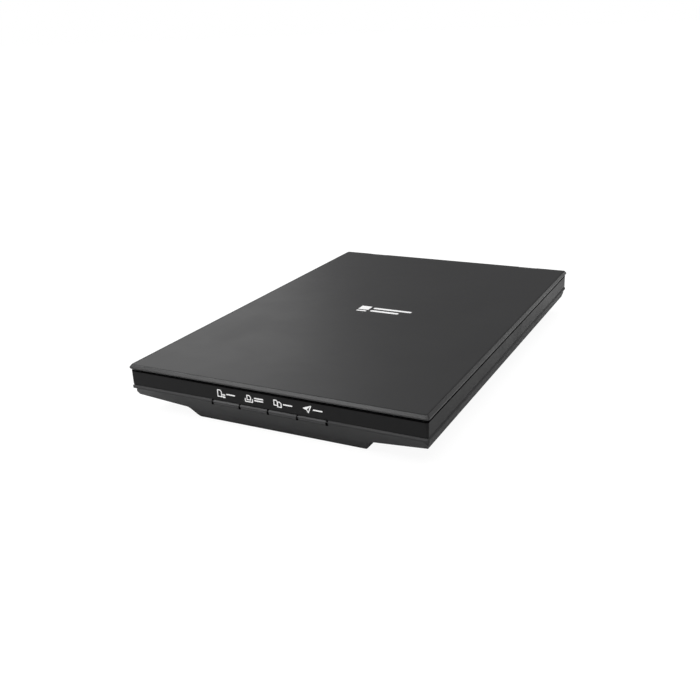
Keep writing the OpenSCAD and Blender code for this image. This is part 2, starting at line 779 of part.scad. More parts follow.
module flat_cable()
    color("#f0f0ea") {
        left = cable_x - cable_w / 2;
        right = cable_x + cable_w / 2;
        socket_x = pcb_x - pcb_w / 2;
        low = floor_z + cable_t / 2;
        loop_r = (loop_high - loop_low) / 2;
        // floor run with its folded corner
        translate([0, 0, floor_z]) linear_extrude(cable_t) polygon([
            [right + 2, 70], [right + 2, 86], [right, 86], [left, 70],
            [left, cable_fold_y], [right, cable_fold_y], [right, 70]]);
        // short ramp up to the socket on the board
        run_y(70, 86, strip_profile([[right + 1, low], [right + 2.2, low],
            [socket_x - 1.6, pcb_top + 0.8], [socket_x + 1.9, pcb_top + 0.8]], cable_t));
        // fold, rolling loop and the upper run to the carriage
        run_x(left, right, strip_profile(concat(
            [[cable_fold_y + 6, low]],
            arc([cable_fold_y, (low + loop_low) / 2], (loop_low - low) / 2, 270, 90, 6),
            arc([loop_y, loop_low + loop_r], loop_r, -90, 90, 14),
            [[loop_y - 20, loop_high], [bar_y + 2, loop_high]]), cable_t));
    }

module cable_clamp()
    color("#2a2a2d") block(cable_x - cable_w / 2 - 2, cable_x + cable_w / 2 + 2,
        bar_y - 1, bar_y + 5, loop_high + cable_t / 2, cradle_z);

// ---- fixings ----

module rubber_feet()
    color("#161616") for (x = [-1, 1], y = [-1, 1])
        translate([x * foot_x, y * foot_y, 0]) {
            cylinder(h = 0.5, r1 = foot_r - 0.9, r2 = foot_r - 0.4);
            translate([0, 0, 0.5]) cylinder(h = foot_h + foot_sink - 0.5, r = foot_r - 0.4);
        }

module case_screws()
    color("#9a9da0") for (p = screws) difference() {
        union() {
            post(p[0], p[1], 2.8, screw_head_z - 2, screw_head_z);
            post(p[0], p[1], 1.3, screw_head_z - cut, 33);
        }
        for (a = [0, 90]) translate([p[0], p[1], screw_head_z - 2]) rotate([0, 0, a])
            cube([3.2, 0.7, 1.6], center = true);
    }

module board_screws()
    color("#b0b3b6") for (p = standoffs) {
        post(p[0], p[1], 1.9, pcb_top, pcb_top + 1.1);
        post(p[0], p[1], 0.9, floor_z + 0.2, pcb_top + cut);
    }

module rating_label()
    color("#c9c9c6") translate([0, label_y, foot_h]) linear_extrude(label_t)
        rounded_rect(label_size[0] - 0.6, label_size[1] - 0.6, 1.7);

lower_housing();
upper_housing();
platen_glass();
glass_tape();
calibration_strip();
lid_cover();
lid_inner();
foam_pad();
white_sheet();
lid_bumpers();
hinge_pins();
hinge_left();
hinge_right();
key_1();
key_2();
key_3();
key_4();
button_board();
tact_switches();
guide_rod();
gear_rack();
carriage_frame();
cis_housing();
rod_lens();
light_guide();
cis_board();
cis_springs();
glass_sliders();
motor_can();
gear_axles();
motor_pinion();
idler_gear();
output_gear();
main_board();
board_parts();
usb_socket();
cable_socket();
flat_cable();
cable_clamp();
rubber_feet();
case_screws();
board_screws();
rating_label();
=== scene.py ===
"""Looks of a slim flatbed scanner: finishes, prints, foam, flat cable, springs, board and a plain studio."""
import json
import logging
import math
from dataclasses import dataclass, field
from enum import Enum

import bmesh
import bpy
from mathutils import Matrix, Vector


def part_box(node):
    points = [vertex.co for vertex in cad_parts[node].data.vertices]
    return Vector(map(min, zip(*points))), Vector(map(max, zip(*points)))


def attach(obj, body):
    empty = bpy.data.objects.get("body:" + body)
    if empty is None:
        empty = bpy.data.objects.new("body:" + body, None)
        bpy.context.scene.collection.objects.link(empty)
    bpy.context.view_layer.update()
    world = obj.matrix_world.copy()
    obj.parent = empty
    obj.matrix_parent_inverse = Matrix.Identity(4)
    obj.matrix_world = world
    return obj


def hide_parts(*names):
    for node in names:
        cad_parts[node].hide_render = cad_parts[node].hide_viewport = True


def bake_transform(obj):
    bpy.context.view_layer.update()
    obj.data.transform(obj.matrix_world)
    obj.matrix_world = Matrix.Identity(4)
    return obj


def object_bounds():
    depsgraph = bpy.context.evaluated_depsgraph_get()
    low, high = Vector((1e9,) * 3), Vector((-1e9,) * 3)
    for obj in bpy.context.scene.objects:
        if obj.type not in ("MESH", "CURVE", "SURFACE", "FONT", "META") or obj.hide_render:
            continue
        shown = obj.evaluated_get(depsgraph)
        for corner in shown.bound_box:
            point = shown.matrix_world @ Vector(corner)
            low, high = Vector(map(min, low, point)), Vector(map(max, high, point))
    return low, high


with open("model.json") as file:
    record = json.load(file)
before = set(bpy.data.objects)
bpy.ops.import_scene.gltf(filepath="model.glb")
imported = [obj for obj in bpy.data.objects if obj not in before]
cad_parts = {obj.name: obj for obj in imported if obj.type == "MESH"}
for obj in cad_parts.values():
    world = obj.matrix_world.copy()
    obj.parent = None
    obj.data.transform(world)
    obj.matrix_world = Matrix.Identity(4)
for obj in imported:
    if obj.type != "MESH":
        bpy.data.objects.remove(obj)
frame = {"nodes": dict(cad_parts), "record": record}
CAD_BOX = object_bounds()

LOG = logging.getLogger("scanner")
MM = 0.001
INK_THICKNESS = 0.03 * MM
INK_LIFT = 0.004 * MM
INK_LAYERS = 6
INK_LAYER_STEP = INK_LIFT / 8
TONE_SCALE = 0.02
EDGE_GAIN = 3.0
BRUSH_STRETCH = 0.02

Point = tuple[float, float]
Place = tuple[float, float, float]
Colour = tuple[float, float, float]
Ring = list[bmesh.types.BMVert]


# ---------------------------------------------------------------- effects

class Effect(Enum):
    """The shader node groups that several finishes share."""

    GRAIN = "moulded grain"
    WEAR = "edge wear"
    SMUDGE = "handling smudges"
    BRUSH = "brushed lines"


@dataclass
class EffectBuilder:
    """Builds one shader node group with named inputs and outputs."""

    effect: Effect

    def __post_init__(self) -> None:
        """Make the empty group with its input and output nodes."""
        self.tree = bpy.data.node_groups.new(self.effect.value, "ShaderNodeTree")
        self.entry = self.tree.nodes.new("NodeGroupInput")
        self.exit = self.tree.nodes.new("NodeGroupOutput")
        self.place = self.tree.nodes.new("ShaderNodeTexCoord").outputs["Object"]

    def inlet(self, name: str, default: float) -> None:
        """Add a float input called name."""
        socket = self.tree.interface.new_socket(name=name, in_out="INPUT", socket_type="NodeSocketFloat")
        socket.default_value = default

    def outlet(self, name: str) -> None:
        """Add a float output called name."""
        self.tree.interface.new_socket(name=name, in_out="OUTPUT", socket_type="NodeSocketFloat")

    def node(self, kind: str, **settings: object) -> bpy.types.Node:
        """Add a node of a kind and set its properties.

        Args:
            kind: The node's type name.
            settings: Its properties, by name.

        Returns:
            The node.
        """
        node = self.tree.nodes.new(kind)
        for key, value in settings.items():
            setattr(node, key, value)
        return node

    def noise(self, place: bpy.types.NodeSocket, **inputs: float) -> bpy.types.Node:
        """Add a noise texture.

        Args:
            place: The coordinates that it is read at.
            inputs: Values of its inputs, by name.

        Returns:
            The node.
        """
        node = self.node("ShaderNodeTexNoise")
        for key, value in inputs.items():
            node.inputs[key].default_value = value
        self.link(place, node.inputs["Vector"])
        return node

    def link(self, source: bpy.types.NodeSocket, target: bpy.types.NodeSocket) -> None:
        """Join two sockets."""
        self.tree.links.new(source, target)

    def calc(self, operation: str, first: object, second: object) -> bpy.types.NodeSocket:
        """Add a Math node.

        Args:
            operation: The Math node's operation.
            first: A socket or a number for the first input.
            second: A socket or a number for the second input.

        Returns:
            The Math node's output.
        """
        node = self.node("ShaderNodeMath", operation=operation)
        for index, value in enumerate((first, second)):
            if isinstance(value, bpy.types.NodeSocket):
                self.link(value, node.inputs[index])
            else:
                node.inputs[index].default_value = value
        return node.outputs[0]


def build_grain() -> bpy.types.NodeTree:
    """Make the moulded grain group: a fine height and a broad tone.

    Returns:
        The node group.
    """
    build = EffectBuilder(Effect.GRAIN)
    build.inlet("Scale", 900.0)
    build.outlet("Height")
    build.outlet("Tone")
    fine = build.noise(build.place, Detail=3.0, Roughness=0.6)
    broad = build.noise(build.place, Detail=4.0)
    build.link(build.entry.outputs["Scale"], fine.inputs["Scale"])
    build.link(build.calc("MULTIPLY", build.entry.outputs["Scale"], TONE_SCALE), broad.inputs["Scale"])
    build.link(fine.outputs["Fac"], build.exit.inputs["Height"])
    build.link(broad.outputs["Fac"], build.exit.inputs["Tone"])
    return build.tree


def build_wear() -> bpy.types.NodeTree:
    """Make the edge wear group: a mask that is brightest on outer edges.

    Returns:
        The node group.
    """
    build = EffectBuilder(Effect.WEAR)
    build.inlet("Width", 0.0005)
    build.inlet("Amount", 0.5)
    build.outlet("Mask")
    bevel = build.node("ShaderNodeBevel", samples=4)
    build.link(build.entry.outputs["Width"], bevel.inputs["Radius"])
    surface = build.node("ShaderNodeNewGeometry")
    likeness = build.node("ShaderNodeVectorMath", operation="DOT_PRODUCT")
    build.link(bevel.outputs["Normal"], likeness.inputs[0])
    build.link(surface.outputs["True Normal"], likeness.inputs[1])
    edge = build.calc("MULTIPLY", build.calc("SUBTRACT", 1.0, likeness.outputs["Value"]), EDGE_GAIN)
    patchy = build.noise(build.place, Scale=90.0, Detail=5.0)
    mask = build.calc("MULTIPLY", edge, patchy.outputs["Fac"])
    scaled = build.node("ShaderNodeMath", operation="MULTIPLY", use_clamp=True)
    build.link(mask, scaled.inputs[0])
    build.link(build.entry.outputs["Amount"], scaled.inputs[1])
    build.link(scaled.outputs[0], build.exit.inputs["Mask"])
    return build.tree


def build_smudge() -> bpy.types.NodeTree:
    """Make the handling smudges group: a soft roughness between two limits.

    Returns:
        The node group.
    """
    build = EffectBuilder(Effect.SMUDGE)
    build.inlet("Scale", 18.0)
    build.inlet("Smooth", 0.3)
    build.inlet("Rough", 0.4)
    build.outlet("Roughness")
    cloud = build.noise(build.place, Detail=6.0, Distortion=0.6)
    build.link(build.entry.outputs["Scale"], cloud.inputs["Scale"])
    spread = build.node("ShaderNodeMapRange")
    spread.inputs["From Min"].default_value = 0.3
    spread.inputs["From Max"].default_value = 0.7
    build.link(cloud.outputs["Fac"], spread.inputs["Value"])
    build.link(build.entry.outputs["Smooth"], spread.inputs["To Min"])
    build.link(build.entry.outputs["Rough"], spread.inputs["To Max"])
    build.link(spread.outputs["Result"], build.exit.inputs["Roughness"])
    return build.tree


def build_brush() -> bpy.types.NodeTree:
    """Make the brushed lines group: fine streaks along Y.

    Returns:
        The node group.
    """
    build = EffectBuilder(Effect.BRUSH)
    build.inlet("Scale", 4000.0)
    build.outlet("Height")
    squeeze = build.node("ShaderNodeMapping")
    squeeze.inputs["Scale"].default_value = (1.0, BRUSH_STRETCH, 1.0)
    build.link(build.place, squeeze.inputs["Vector"])
    lines = build.noise(squeeze.outputs["Vector"], Detail=2.0)
    build.link(build.entry.outputs["Scale"], lines.inputs["Scale"])
    build.link(lines.outputs["Fac"], build.exit.inputs["Height"])
    return build.tree


EFFECTS = {
    Effect.GRAIN: build_grain(),
    Effect.WEAR: build_wear(),
    Effect.SMUDGE: build_smudge(),
    Effect.BRUSH: build_brush(),
}


# ---------------------------------------------------------------- finishes

@dataclass(frozen=True)
class Finish:
    """One surface finish, from its colour to its wear."""

    name: str
    colour: Colour
    smooth: float = 0.40
    rough: float = 0.50
    grain_scale: float = 1400.0
    grain_depth: float = 0.02 * MM
    grain_strength: float = 0.25
    mottle: float = 0.12
    wear: float = 0.35
    wear_lift: float = 2.2
    smudge_scale: float = 18.0
    metallic: float = 0.0
    coat: float = 0.0
    coat_rough: float = 0.12
    specular: float = 0.5
    transmission: float = 0.0
    sheen: float = 0.0
    brushed: bool = False
    ior: float = 1.5

    def material(self) -> bpy.types.Material:
        """Build the material.

        Returns:
            A node material with grain, mottle, smudges and edge wear.
        """
        material = bpy.data.materials.new(self.name)
        material.use_nodes = True
        tree = material.node_tree
        shader = tree.nodes["Principled BSDF"]
        shader.inputs["Metallic"].default_value = self.metallic
        shader.inputs["Coat Weight"].default_value = self.coat
        shader.inputs["Coat Roughness"].default_value = self.coat_rough
        shader.inputs["Specular IOR Level"].default_value = self.specular
        shader.inputs["Transmission Weight"].default_value = self.transmission
        shader.inputs["Sheen Weight"].default_value = self.sheen
        shader.inputs["IOR"].default_value = self.ior
        self._colour(tree, shader)
        self._roughness(tree, shader)
        self._bump(tree, shader)
        return material

    def _effect(self, tree: bpy.types.NodeTree, effect: Effect, **inputs: float) -> bpy.types.Node:
        """Place a shared effect in this material with its own values.

        Args:
            tree: The material's nodes.
            effect: The shared effect.
            inputs: Values of its inputs, by name.

        Returns:
            The group node.
        """
        node = tree.nodes.new("ShaderNodeGroup")
        node.node_tree = EFFECTS[effect]
        for key, value in inputs.items():
            node.inputs[key].default_value = value
        return node

    def _shade(self, factor: float) -> tuple[float, float, float, float]:
        """The finish's colour times factor, with full alpha."""
        return (*(min(1.0, channel * factor) for channel in self.colour), 1.0)

    def _mix(self, tree: bpy.types.NodeTree, mask: bpy.types.NodeSocket) -> bpy.types.Node:
        """Add a colour mix driven by a mask.

        Args:
            tree: The material's nodes.
            mask: How far the mix goes from A to B.

        Returns:
            The mix node.
        """
        mix = tree.nodes.new("ShaderNodeMix")
        mix.data_type = "RGBA"
        tree.links.new(mask, mix.inputs["Factor"])
        return mix

    def _colour(self, tree: bpy.types.NodeTree, shader: bpy.types.Node) -> None:
        """Feed the base colour from the mottle and the wear.

        Args:
            tree: The material's nodes.
            shader: Its shader.
        """
        grain = self._effect(tree, Effect.GRAIN, Scale=self.grain_scale)
        mottled = self._mix(tree, grain.outputs["Tone"])
        mottled.inputs["A"].default_value = self._shade(1.0 - self.mottle)
        mottled.inputs["B"].default_value = self._shade(1.0 + self.mottle)
        worn = self._mix(tree, self._effect(tree, Effect.WEAR, Amount=self.wear).outputs["Mask"])
        tree.links.new(mottled.outputs["Result"], worn.inputs["A"])
        worn.inputs["B"].default_value = self._shade(self.wear_lift)
        tree.links.new(worn.outputs["Result"], shader.inputs["Base Color"])

    def _roughness(self, tree: bpy.types.NodeTree, shader: bpy.types.Node) -> None:
        """Feed the roughness from the smudges.

        Args:
            tree: The material's nodes.
            shader: Its shader.
        """
        smudge = self._effect(tree, Effect.SMUDGE, Scale=self.smudge_scale,
                              Smooth=self.smooth, Rough=self.rough)
        tree.links.new(smudge.outputs["Roughness"], shader.inputs["Roughness"])

    def _bump(self, tree: bpy.types.NodeTree, shader: bpy.types.Node) -> None:
        """Feed the normal from the grain or the brushed lines.

        Args:
            tree: The material's nodes.
            shader: Its shader.
        """
        effect = Effect.BRUSH if self.brushed else Effect.GRAIN
        source = self._effect(tree, effect, Scale=self.grain_scale)
        bump = tree.nodes.new("ShaderNodeBump")
        bump.inputs["Strength"].default_value = self.grain_strength
        bump.inputs["Distance"].default_value = self.grain_depth
        tree.links.new(source.outputs["Height"], bump.inputs["Height"])
        tree.links.new(bump.outputs["Normal"], shader.inputs["Normal"])


LID_SATIN = Finish("lid satin", (0.019, 0.019, 0.0195), smooth=0.36, rough=0.42, specular=0.34,
                   grain_scale=2600.0, mottle=0.05, wear=0.30)
BAND_GLOSS = Finish("band gloss", (0.0118, 0.0118, 0.0121), smooth=0.26, rough=0.36, specular=0.06,
                    grain_scale=1800.0, grain_strength=0.08, mottle=0.08, wear=0.25)
SHELL_MATT = Finish("shell matt", (0.023, 0.023, 0.0237), smooth=0.46, rough=0.56, specular=0.2,
                    grain_scale=2200.0, grain_strength=0.4, mottle=0.08, wear=0.4)
KEY_SATIN = Finish("key satin", (0.021, 0.021, 0.0218), smooth=0.40, rough=0.50, specular=0.3,
                   grain_scale=2200.0, grain_strength=0.3, wear=0.5)
HINGE_BLACK = Finish("hinge black", (0.016, 0.016, 0.017), smooth=0.35, rough=0.45, wear=0.4)
LINER_GREY = Finish("liner grey", (0.055, 0.055, 0.057), smooth=0.5, rough=0.6, grain_strength=0.4)
FOAM_WHITE = Finish("foam white", (0.74, 0.74, 0.72), smooth=0.85, rough=0.95, grain_scale=1200.0,
                    grain_depth=0.15 * MM, grain_strength=0.6, mottle=0.05, wear=0.0, sheen=0.2)
FILM_WHITE = Finish("film white", (0.86, 0.86, 0.84), smooth=0.42, rough=0.52, mottle=0.015,
                    grain_strength=0.05, wear=0.0)
RUBBER_BLACK = Finish("rubber black", (0.013, 0.013, 0.013), smooth=0.65, rough=0.85,
                      grain_strength=0.5, wear=0.2)
ROD_STEEL = Finish("rod steel", (0.56, 0.57, 0.59), smooth=0.16, rough=0.28, metallic=1.0,
                   grain_scale=5000.0, grain_strength=0.15, brushed=True, wear=0.0)
CAN_STEEL = Finish("can steel", (0.50, 0.51, 0.53), smooth=0.24, rough=0.38, metallic=1.0,
                   grain_scale=3000.0, grain_strength=0.2, brushed=True, wear=0.1, wear_lift=1.3)
SCREW_ZINC = Finish("screw zinc", (0.42, 0.43, 0.44), smooth=0.3, rough=0.45, metallic=1.0, wear=0.3)
PINION_BRASS = Finish("pinion brass", (0.70, 0.50, 0.21), smooth=0.22, rough=0.36, metallic=1.0,
                      wear=0.2, wear_lift=1.2)
GEAR_ACETAL = Finish("gear acetal", (0.70, 0.68, 0.60), smooth=0.34, rough=0.46, mottle=0.03,
                     wear=0.05, wear_lift=0.8)
FRAME_BLACK = Finish("frame black", (0.021, 0.021, 0.023), smooth=0.4, rough=0.55,
                     grain_strength=0.5, wear=0.3)
SENSOR_BLACK = Finish("sensor black", (0.014, 0.014, 0.015), smooth=0.5, rough=0.6, wear=0.3)
LENS_DARK = Finish("lens dark", (0.06, 0.09, 0.11), smooth=0.05, rough=0.12, grain_strength=0.02,
                   coat=0.6, wear=0.0)
GUIDE_CLEAR = Finish("guide clear", (0.78, 0.84, 0.88), smooth=0.10, rough=0.2, transmission=0.5,
                     grain_strength=0.05, wear=0.0, mottle=0.02)
SLIDER_WHITE = Finish("slider white", (0.78, 0.78, 0.74), smooth=0.3, rough=0.4, mottle=0.03, wear=0.1,
                      wear_lift=0.7)
BOARD_GREEN = Finish("board green", (0.012, 0.085, 0.035), smooth=0.22, rough=0.32, coat=0.3,
                     grain_scale=700.0, grain_strength=0.2, mottle=0.18, wear=0.3)
CHIP_EPOXY = Finish("chip epoxy", (0.013, 0.013, 0.014), smooth=0.5, rough=0.62, wear=0.25)
SOLDER_TIN = Finish("solder tin", (0.62, 0.62, 0.62), smooth=0.22, rough=0.4, metallic=1.0, wear=0.0)
SOCKET_NATURAL = Finish("socket natural", (0.72, 0.69, 0.60), smooth=0.4, rough=0.5, wear=0.1,
                        wear_lift=0.8)
RIBBON_WHITE = Finish("ribbon white", (0.72, 0.72, 0.70), smooth=0.3, rough=0.4, mottle=0.02, wear=0.0)
RIBBON_BLUE = Finish("ribbon blue", (0.03, 0.12, 0.42), smooth=0.3, rough=0.4, wear=0.0)
TAPE_BLACK = Finish("tape black", (0.010, 0.010, 0.010), smooth=0.6, rough=0.7, wear=0.0)
# Painted shade: a near-black finish that fills the key slits and the gap under the lid, where shade falls.
SHADE_BLACK = Finish("painted shade black", (0.0008, 0.0008, 0.0008), smooth=0.85, rough=0.95, specular=0.02,
                    wear=0.0)
LABEL_SILVER = Finish("label silver", (0.50, 0.50, 0.49), smooth=0.3, rough=0.42, mottle=0.03, wear=0.0)
PRINT_WHITE = Finish("print white", (0.78, 0.78, 0.78), smooth=0.45, rough=0.6, mottle=0.03,
                     grain_strength=0.1, wear=0.0)
PRINT_SILVER = Finish("print silver", (0.82, 0.82, 0.82), smooth=0.35, rough=0.5, metallic=0.25,
                      mottle=0.04, grain_strength=0.1, wear=0.0)
BED_GLASS = Finish("bed glass", (0.93, 0.98, 0.96), smooth=0.0, rough=0.01, transmission=1.0,
                   grain_strength=0.0, mottle=0.01, wear=0.0)

NODE_FINISHES = {
    "lid_cover": LID_SATIN, "upper_housing": BAND_GLOSS, "lower_housing": SHELL_MATT,
    "lid_inner": LINER_GREY, "foam_pad": FOAM_WHITE, "white_sheet": FILM_WHITE,
    "lid_bumpers": RUBBER_BLACK, "rubber_feet": RUBBER_BLACK, "hinge_pins": ROD_STEEL,
    "hinge_left": HINGE_BLACK, "hinge_right": HINGE_BLACK, "key_1": KEY_SATIN,
    "key_2": KEY_SATIN, "key_3": KEY_SATIN, "key_4": KEY_SATIN, "button_board": BOARD_GREEN,
    "tact_switches": CAN_STEEL, "guide_rod": ROD_STEEL, "gear_rack": GEAR_ACETAL,
    "carriage_frame": FRAME_BLACK, "cis_housing": SENSOR_BLACK, "rod_lens": LENS_DARK,
    "light_guide": GUIDE_CLEAR, "cis_board": BOARD_GREEN, "cis_springs": ROD_STEEL,
    "glass_sliders": SLIDER_WHITE, "motor_can": CAN_STEEL, "gear_axles": ROD_STEEL,
    "motor_pinion": PINION_BRASS, "idler_gear": GEAR_ACETAL, "output_gear": GEAR_ACETAL,
    "main_board": BOARD_GREEN, "board_parts": CHIP_EPOXY, "usb_socket": CAN_STEEL,
    "cable_socket": SOCKET_NATURAL, "flat_cable": RIBBON_WHITE, "cable_clamp": FRAME_BLACK,
    "case_screws": SCREW_ZINC, "board_screws": SCREW_ZINC, "rating_label": LABEL_SILVER,
    "glass_tape": TAPE_BLACK, "calibration_strip": FILM_WHITE, "platen_glass": BED_GLASS,
}


class Paint:
    """Hands out each finish's material, built once."""

    _made: dict[str, bpy.types.Material] = {}

    @classmethod
    def of(cls, finish: Finish) -> bpy.types.Material:
        """The material of a finish."""
        if finish.name not in cls._made:
            cls._made[finish.name] = finish.material()
        return cls._made[finish.name]


# ---------------------------------------------------------------- mesh helpers

def node_slot(node: str) -> str:
    """The record's material slot of a CAD node."""
    return next(part["material_slot"] for part in frame["record"]["subparts"] if part["node"] == node)


def new_object(name: str, mesh: bmesh.types.BMesh, finish: Finish, smooth: bool = False) -> bpy.types.Object:
    """Turn a bmesh into an object in the scene.

    Args:
        name: The object's name.
        mesh: Its geometry in the row frame, freed here.
        finish: Its surface finish.
        smooth: Whether its faces are shaded smooth.

    Returns:
        The new object.
    """
    bmesh.ops.recalc_face_normals(mesh, faces=mesh.faces)
    data = bpy.data.meshes.new(name)
    mesh.to_mesh(data)
    mesh.free()
    for face in data.polygons:
        face.use_smooth = smooth
    data.materials.append(Paint.of(finish))
    made = bpy.data.objects.new(name, data)
    bpy.context.scene.collection.objects.link(made)
    LOG.info("%s: %d faces", name, len(data.polygons))
    return made


def make_piece(name: str, mesh: bmesh.types.BMesh, finish: Finish, body: str,
               smooth: bool = False) -> bpy.types.Object:
    """Turn a bmesh into a piece that rides on a body.

    Args:
        name: The piece's name.
        mesh: Its geometry in the row frame, freed here.
        finish: Its surface finish.
        body: The CAD body that it moves with.
        smooth: Whether its faces are shaded smooth.

    Returns:
        The new piece.
    """
    piece = new_object(name, mesh, finish, smooth)
    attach(piece, body)
    LOG.info("%s rides on %s", name, body)
    return piece


def join_rings(mesh: bmesh.types.BMesh, rings: list[Ring], closed: bool = True) -> None:
    """Add the faces between neighbouring rings of vertices.

    Args:
        mesh: The geometry that they are added to.
        rings: Rings, all with the same number of vertices.
        closed: Whether each ring runs on to its first vertex again.
    """
    for first, second in zip(rings, rings[1:]):
        count = len(first)
        for index in range(count if closed else count - 1):
            after = (index + 1) % count
            mesh.faces.new((first[index], first[after], second[after], second[index]))


def add_solid(mesh: bmesh.types.BMesh, rings: list[Ring]) -> None:
    """Add the walls between closed rings of vertices and a cap at each end.

    Args:
        mesh: The geometry that they are added to.
        rings: Closed rings, from one end to the other.
    """
    mesh.faces.new(list(reversed(rings[0])))
    mesh.faces.new(rings[-1])
    join_rings(mesh, rings)


def add_box(mesh: bmesh.types.BMesh, low: Vector, high: Vector, chamfer: float = 0.0) -> None:
    """Add a box from low to high, with its edges chamfered.

    Args:
        mesh: The geometry that it is added to.
        low: Lowest corner.
        high: Highest corner.
        chamfer: Width of the chamfer, or 0 for none.
    """
    size = high - low
    place = Matrix.Translation((low + high) / 2) @ Matrix.Diagonal((*size, 1.0))
    made = bmesh.ops.create_cube(mesh, size=1.0, matrix=place)
    if chamfer > 0.0:
        edges = list({edge for vertex in made["verts"] for edge in vertex.link_edges})
        bmesh.ops.bevel(mesh, geom=edges, offset=chamfer, segments=2, profile=0.7, affect="EDGES")


def round_outline(low: Vector, high: Vector, inset: float, corner: float, steps: int = 6) -> list[Point]:
    """Points round a rectangle with round corners.

    Args:
        low: Lowest corner of the rectangle.
        high: Highest corner of the rectangle.
        inset: How far the outline is pulled in.
        corner: Radius of its corners.
        steps: Segments in each corner.

    Returns:
        The points in order.
    """
    reach = corner + inset
    corners = ((high.x - reach, high.y - reach, 0), (low.x + reach, high.y - reach, 90),
               (low.x + reach, low.y + reach, 180), (high.x - reach, low.y + reach, 270))
    return [(x + corner * math.cos(math.radians(start + 90 * step / steps)),
             y + corner * math.sin(math.radians(start + 90 * step / steps)))
            for x, y, start in corners for step in range(steps + 1)]


class Ink:
    """A thin print on a flat face, drawn from strokes and rounded bars."""

    END_STEPS = 6

    def __init__(self, origin: Vector, across: Vector, up: Vector) -> None:
        """Start an empty print on a face.

        Args:
            origin: The point that drawings are measured from.
            across: Unit direction of the first coordinate.
            up: Unit direction of the second coordinate.
        """
        self.origin = origin
        self.across = across
        self.up = up
        self.out = across.cross(up)
        self.mesh = bmesh.new()
        self.layer = 0

    def shape(self, outline: list[Point]) -> None:
        """Add one closed outline as a thin slab.

        Args:
            outline: The outline's points, in metres on the face.
        """
        lift = INK_LIFT + self.layer * INK_LAYER_STEP
        self.layer = (self.layer + 1) % INK_LAYERS
        add_solid(self.mesh, [
            [self.mesh.verts.new(self.origin + self.across * u + self.up * v + self.out * height)
             for u, v in outline]
            for height in (lift, lift + INK_THICKNESS)])

    def bar(self, start: Point, end: Point, width: float) -> None:
        """Add a straight stroke with round ends.

        Args:
            start: One end of its centre line.
            end: The other end.
            width: Width of the stroke.
        """
        first, last = Vector(start), Vector(end)
        heading = math.atan2(last.y - first.y, last.x - first.x)
        outline = []
        for centre, base in ((last, heading - math.pi / 2), (first, heading + math.pi / 2)):
            for step in range(self.END_STEPS + 1):
                angle = base + math.pi * step / self.END_STEPS
                outline.append((centre.x + width / 2 * math.cos(angle),
                                centre.y + width / 2 * math.sin(angle)))
        self.shape(outline)

    def path(self, points: list[Point], width: float, closed: bool = False) -> None:
        """Add a stroke along several points.

        Args:
            points: The points, in order.
            width: Width of the stroke.
            closed: Whether it runs back to the first point.
        """
        ends = points[1:] + (points[:1] if closed else [])
        for start, end in zip(points, ends):
            self.bar(start, end, width)

    def piece(self, name: str, finish: Finish, body: str, slot: str) -> bpy.types.Object:
        """Finish the print as a piece on a body."""
        return make_piece(name, self.mesh, finish, body)


# ---------------------------------------------------------------- the shell

@dataclass
class Casework:
    """The moulded shells: their softened edges and their finishes."""

    edge_soften: float = 0.35 * MM
    fine_soften: float = 0.15 * MM
    weld: float = 0.001 * MM
    sharp_deg: float = 34.0

    def build(self) -> None:
        """Give every CAD node its finish and round the moulded edges."""
        for name, finish in NODE_FINISHES.items():
            self.dress(name, finish)
        for name in ("lid_cover", "upper_housing", "lower_housing"):
            self.soften(name, self.edge_soften)
        for name in ("key_1", "key_2", "key_3", "key_4", "hinge_left", "hinge_right",
                     "carriage_frame", "cis_housing"):
            self.soften(name, self.fine_soften)

    def dress(self, name: str, finish: Finish) -> None:
        """Put a finish on a CAD node.

        Args:
            name: The node's name.
            finish: Its surface finish.
        """
        node = frame["nodes"][name]
        for material_slot in node.material_slots:
            material_slot.material = Paint.of(finish)
        LOG.info("%s: %s", name, finish.name)

    def soften(self, name: str, width: float) -> None:
        """Round a CAD node's edges with modifiers, leaving its mesh alone.

        Args:
            name: The node's name.
            width: How far the edges are rounded.
        """
        node = frame["nodes"][name]
        weld = node.modifiers.new("weld", "WELD")
        weld.merge_threshold = self.weld
        bevel = node.modifiers.new("soft edges", "BEVEL")
        bevel.width = width
        bevel.segments = 2
        bevel.limit_method = "ANGLE"
        bevel.angle_limit = math.radians(self.sharp_deg)
        bevel.use_clamp_overlap = True
        bevel.harden_normals = False


@dataclass
class LidEmblem:
    """A plain mark on the lid: a page over a light bar, and two rules beside it."""

    width: float = 50 * MM
    height: float = 14 * MM
    page_width: float = 10 * MM
    bar_width: float = 2.4 * MM
    rule: float = 3.6 * MM
    rule_height: float = 3.6 * MM
    rule_gap: float = 4.5 * MM
    short_rule: float = 0.72
    drift_x: float = 5.5 * MM
    drift_y: float = 3 * MM

    def build(self) -> None:
        """Draw the mark near the middle of the lid."""
        low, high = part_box("lid_cover")
        centre = Vector(((low.x + high.x) / 2 + self.drift_x, (low.y + high.y) / 2 + self.drift_y, high.z))
        ink = Ink(centre, Vector((1, 0, 0)), Vector((0, 1, 0)))
        left, right = -self.width / 2, self.width / 2
        top, foot = self.height / 2, -self.height / 2
        page_right = left + self.page_width
        page_foot = foot + 2 * self.bar_width
        ink.shape([(left, page_foot), (page_right, page_foot), (page_right, top), (left, top)])
        ink.bar((left + self.bar_width / 2, foot + self.bar_width / 2),
                (page_right - self.bar_width / 2, foot + self.bar_width / 2), self.bar_width)
        start, end = page_right + self.rule_gap, right - self.rule / 2
        ink.bar((start, self.rule_height), (end, self.rule_height), self.rule)
        ink.bar((start, -self.rule_height), (start + (end - start) * self.short_rule, -self.rule_height),
                self.rule)
        ink.piece("lid_mark", PRINT_SILVER, "lid", node_slot("lid_cover"))


